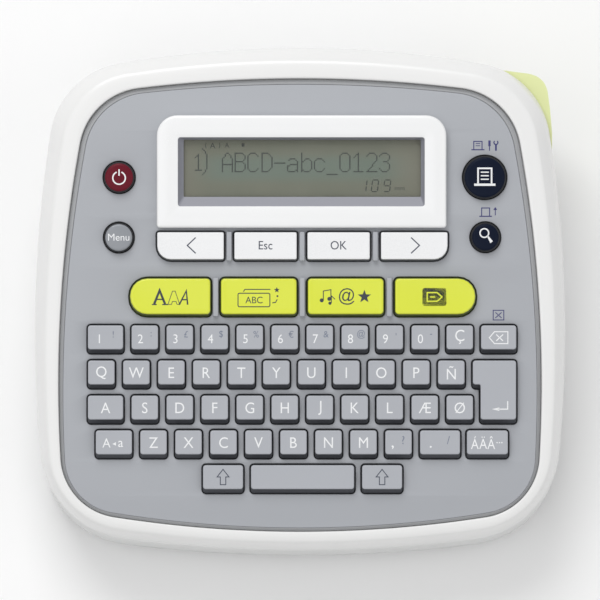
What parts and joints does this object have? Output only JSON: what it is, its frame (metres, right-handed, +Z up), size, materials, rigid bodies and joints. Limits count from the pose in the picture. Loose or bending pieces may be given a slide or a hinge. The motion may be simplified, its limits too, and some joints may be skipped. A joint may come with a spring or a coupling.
{
  "type": "label maker",
  "caption": "Desktop label maker with a sloping full keyboard, a display under a white bezel, a tape drive inside and a lime cutter lever at the back corner.",
  "frame": {"origin": "centre of the footprint on the table, under the feet", "axes": "+X to the user's right, +Y away from the user, +Z up"},
  "size_m": [0.1654, 0.1536, 0.0675],
  "materials": {
    "white_shell": "satin moulded white",
    "grey_panel": "fine matt texture",
    "white_frame": "gloss",
    "clear_window": "clear",
    "lcd": "olive liquid crystal",
    "dark_plastic": "moulded",
    "silicone": "translucent grey",
    "circuit_board": "solder mask",
    "red_cap": "gloss",
    "grey_button": "satin",
    "navy_cap": "gloss",
    "white_cap": "gloss",
    "lime_cap": "gloss",
    "key_cap": "satin",
    "steel": "plated",
    "lower_shell": "fine spark texture",
    "rubber_foot": "matt",
    "frame_plastic": "moulded",
    "alloy": "as sawn",
    "ceramic_head": "glazed",
    "roller_rubber": "ground",
    "gear_plastic": "acetal",
    "brass": "turned",
    "cassette_plastic": "moulded",
    "tape": "laminated film",
    "ribbon": "film",
    "cell_jacket": "printed sleeve"
  },
  "bodies": {
    "case": {"top_case": "white_shell", "key_panel": "grey_panel", "display_frame": "white_frame", "lcd_window": "clear_window", "lcd_cell": "lcd", "lcd_holder": "dark_plastic", "key_mat": "silicone", "main_board": "circuit_board", "lever_pin": "steel", "lever_spring": "steel", "fixed_blade": "steel", "bottom_case": "lower_shell", "feet": "rubber_foot", "case_screws": "steel", "chassis": "frame_plastic", "print_head": "ceramic_head", "heat_sink": "alloy", "motor": "steel", "cassette_case": "cassette_plastic", "batteries": "cell_jacket", "battery_contacts": "steel", "dc_inlet": "dark_plastic"},
    "power_button": {"power_button": "red_cap"},
    "menu_button": {"menu_button": "grey_button"},
    "print_button": {"print_button": "navy_cap"},
    "preview_button": {"preview_button": "navy_cap"},
    "left_key": {"left_key": "white_cap"},
    "esc_key": {"esc_key": "white_cap"},
    "ok_key": {"ok_key": "white_cap"},
    "right_key": {"right_key": "white_cap"},
    "font_key": {"font_key": "lime_cap"},
    "frame_key": {"frame_key": "lime_cap"},
    "symbol_key": {"symbol_key": "lime_cap"},
    "template_key": {"template_key": "lime_cap"},
    "digit_keys": {"digit_keys": "key_cap"},
    "top_letter_keys": {"top_letter_keys": "key_cap"},
    "home_letter_keys": {"home_letter_keys": "key_cap"},
    "bottom_letter_keys": {"bottom_letter_keys": "key_cap"},
    "backspace_key": {"backspace_key": "key_cap"},
    "enter_key": {"enter_key": "key_cap"},
    "space_key": {"space_key": "key_cap"},
    "shift_left_key": {"shift_left_key": "key_cap"},
    "shift_right_key": {"shift_right_key": "key_cap"},
    "caps_key": {"caps_key": "key_cap"},
    "accent_key": {"accent_key": "key_cap"},
    "cutter_lever": {"cutter_lever": "lime_cap"},
    "cutter_blade": {"cutter_blade": "steel"},
    "back_cover": {"back_cover": "lower_shell"},
    "platen_holder": {"platen_holder": "frame_plastic"},
    "platen_roller": {"platen_roller": "roller_rubber", "platen_gear": "gear_plastic"},
    "idler_gear": {"idler_gear": "gear_plastic"},
    "pinion": {"pinion": "brass"},
    "ribbon_gear": {"ribbon_gear": "gear_plastic", "ribbon_core": "ribbon"},
    "tape_spool": {"tape_spool": "tape"},
    "ribbon_supply": {"ribbon_supply": "ribbon"}
  },
  "joints": [
    {"name": "power_press", "type": "slide", "parent": "case", "child": "power_button", "axis": [0, 0.2419, -0.9703], "range_m": [0, 0.0012], "stiffness_N_per_m": 400},
    {"name": "menu_press", "type": "slide", "parent": "case", "child": "menu_button", "axis": [0, 0.2419, -0.9703], "range_m": [0, 0.0012], "stiffness_N_per_m": 400},
    {"name": "print_press", "type": "slide", "parent": "case", "child": "print_button", "axis": [0, 0.2419, -0.9703], "range_m": [0, 0.0012], "stiffness_N_per_m": 400},
    {"name": "preview_press", "type": "slide", "parent": "case", "child": "preview_button", "axis": [0, 0.2419, -0.9703], "range_m": [0, 0.0012], "stiffness_N_per_m": 400},
    {"name": "left_press", "type": "slide", "parent": "case", "child": "left_key", "axis": [0, 0.2419, -0.9703], "range_m": [0, 0.0012], "stiffness_N_per_m": 400},
    {"name": "esc_press", "type": "slide", "parent": "case", "child": "esc_key", "axis": [0, 0.2419, -0.9703], "range_m": [0, 0.0012], "stiffness_N_per_m": 400},
    {"name": "ok_press", "type": "slide", "parent": "case", "child": "ok_key", "axis": [0, 0.2419, -0.9703], "range_m": [0, 0.0012], "stiffness_N_per_m": 400},
    {"name": "right_press", "type": "slide", "parent": "case", "child": "right_key", "axis": [0, 0.2419, -0.9703], "range_m": [0, 0.0012], "stiffness_N_per_m": 400},
    {"name": "font_press", "type": "slide", "parent": "case", "child": "font_key", "axis": [0, 0.2419, -0.9703], "range_m": [0, 0.0012], "stiffness_N_per_m": 400},
    {"name": "frame_press", "type": "slide", "parent": "case", "child": "frame_key", "axis": [0, 0.2419, -0.9703], "range_m": [0, 0.0012], "stiffness_N_per_m": 400},
    {"name": "symbol_press", "type": "slide", "parent": "case", "child": "symbol_key", "axis": [0, 0.2419, -0.9703], "range_m": [0, 0.0012], "stiffness_N_per_m": 400},
    {"name": "template_press", "type": "slide", "parent": "case", "child": "template_key", "axis": [0, 0.2419, -0.9703], "range_m": [0, 0.0012], "stiffness_N_per_m": 400},
    {"name": "digit_press", "type": "slide", "parent": "case", "child": "digit_keys", "axis": [0, 0.2419, -0.9703], "range_m": [0, 0.0012], "stiffness_N_per_m": 400},
    {"name": "top_letter_press", "type": "slide", "parent": "case", "child": "top_letter_keys", "axis": [0, 0.2419, -0.9703], "range_m": [0, 0.0012], "stiffness_N_per_m": 400},
    {"name": "home_letter_press", "type": "slide", "parent": "case", "child": "home_letter_keys", "axis": [0, 0.2419, -0.9703], "range_m": [0, 0.0012], "stiffness_N_per_m": 400},
    {"name": "bottom_letter_press", "type": "slide", "parent": "case", "child": "bottom_letter_keys", "axis": [0, 0.2419, -0.9703], "range_m": [0, 0.0012], "stiffness_N_per_m": 400},
    {"name": "backspace_press", "type": "slide", "parent": "case", "child": "backspace_key", "axis": [0, 0.2419, -0.9703], "range_m": [0, 0.0012], "stiffness_N_per_m": 400},
    {"name": "enter_press", "type": "slide", "parent": "case", "child": "enter_key", "axis": [0, 0.2419, -0.9703], "range_m": [0, 0.0012], "stiffness_N_per_m": 400},
    {"name": "space_press", "type": "slide", "parent": "case", "child": "space_key", "axis": [0, 0.2419, -0.9703], "range_m": [0, 0.0012], "stiffness_N_per_m": 400},
    {"name": "shift_left_press", "type": "slide", "parent": "case", "child": "shift_left_key", "axis": [0, 0.2419, -0.9703], "range_m": [0, 0.0012], "stiffness_N_per_m": 400},
    {"name": "shift_right_press", "type": "slide", "parent": "case", "child": "shift_right_key", "axis": [0, 0.2419, -0.9703], "range_m": [0, 0.0012], "stiffness_N_per_m": 400},
    {"name": "caps_press", "type": "slide", "parent": "case", "child": "caps_key", "axis": [0, 0.2419, -0.9703], "range_m": [0, 0.0012], "stiffness_N_per_m": 400},
    {"name": "accent_press", "type": "slide", "parent": "case", "child": "accent_key", "axis": [0, 0.2419, -0.9703], "range_m": [0, 0.0012], "stiffness_N_per_m": 400},
    {"name": "lever_press", "type": "hinge", "parent": "case", "child": "cutter_lever", "pos_m": [0.074, 0.049, 0.03], "axis": [0, 0, 1], "range_deg": [0, 6], "stiffness_Nm_per_rad": 0.6},
    {"name": "blade_swing", "type": "hinge", "parent": "case", "child": "cutter_blade", "pos_m": [0.0457, 0.057, 0.007], "axis": [0, 1, 0], "range_deg": [-24, 0]},
    {"name": "cover_off", "type": "slide", "parent": "case", "child": "back_cover", "axis": [0, 0, -1], "range_m": [0, 0.03]},
    {"name": "platen_swing", "type": "hinge", "parent": "case", "child": "platen_holder", "pos_m": [0.056, 0.01, 0.015], "axis": [0, 0, 1], "range_deg": [-8, 0], "stiffness_Nm_per_rad": 0.08},
    {"name": "roller_turn", "type": "hinge", "parent": "platen_holder", "child": "platen_roller", "pos_m": [0.049, 0.034, 0.015], "axis": [0, 0, 1], "continuous": true},
    {"name": "idler_turn", "type": "hinge", "parent": "case", "child": "idler_gear", "pos_m": [0.03296, 0.03626, 0.03], "axis": [0, 0, 1], "continuous": true},
    {"name": "pinion_turn", "type": "hinge", "parent": "case", "child": "pinion", "pos_m": [0.01943, 0.03133, 0.03], "axis": [0, 0, 1], "continuous": true},
    {"name": "ribbon_turn", "type": "hinge", "parent": "case", "child": "ribbon_gear", "pos_m": [0.03123, 0.01653, 0.02], "axis": [0, 0, 1], "continuous": true},
    {"name": "tape_turn", "type": "hinge", "parent": "case", "child": "tape_spool", "pos_m": [0.023, -0.0135, 0.015], "axis": [0, 0, 1], "continuous": true},
    {"name": "ribbon_supply_turn", "type": "hinge", "parent": "case", "child": "ribbon_supply", "pos_m": [0.0115, 0.019, 0.015], "axis": [0, 0, 1], "continuous": true}
  ],
  "couplings": [
    {"joint": "blade_swing", "follows": "lever_press", "ratio": -4},
    {"joint": "idler_turn", "follows": "roller_turn", "ratio": -0.5},
    {"joint": "pinion_turn", "follows": "roller_turn", "ratio": 1.5},
    {"joint": "ribbon_turn", "follows": "roller_turn", "ratio": 0.6}
  ]
}
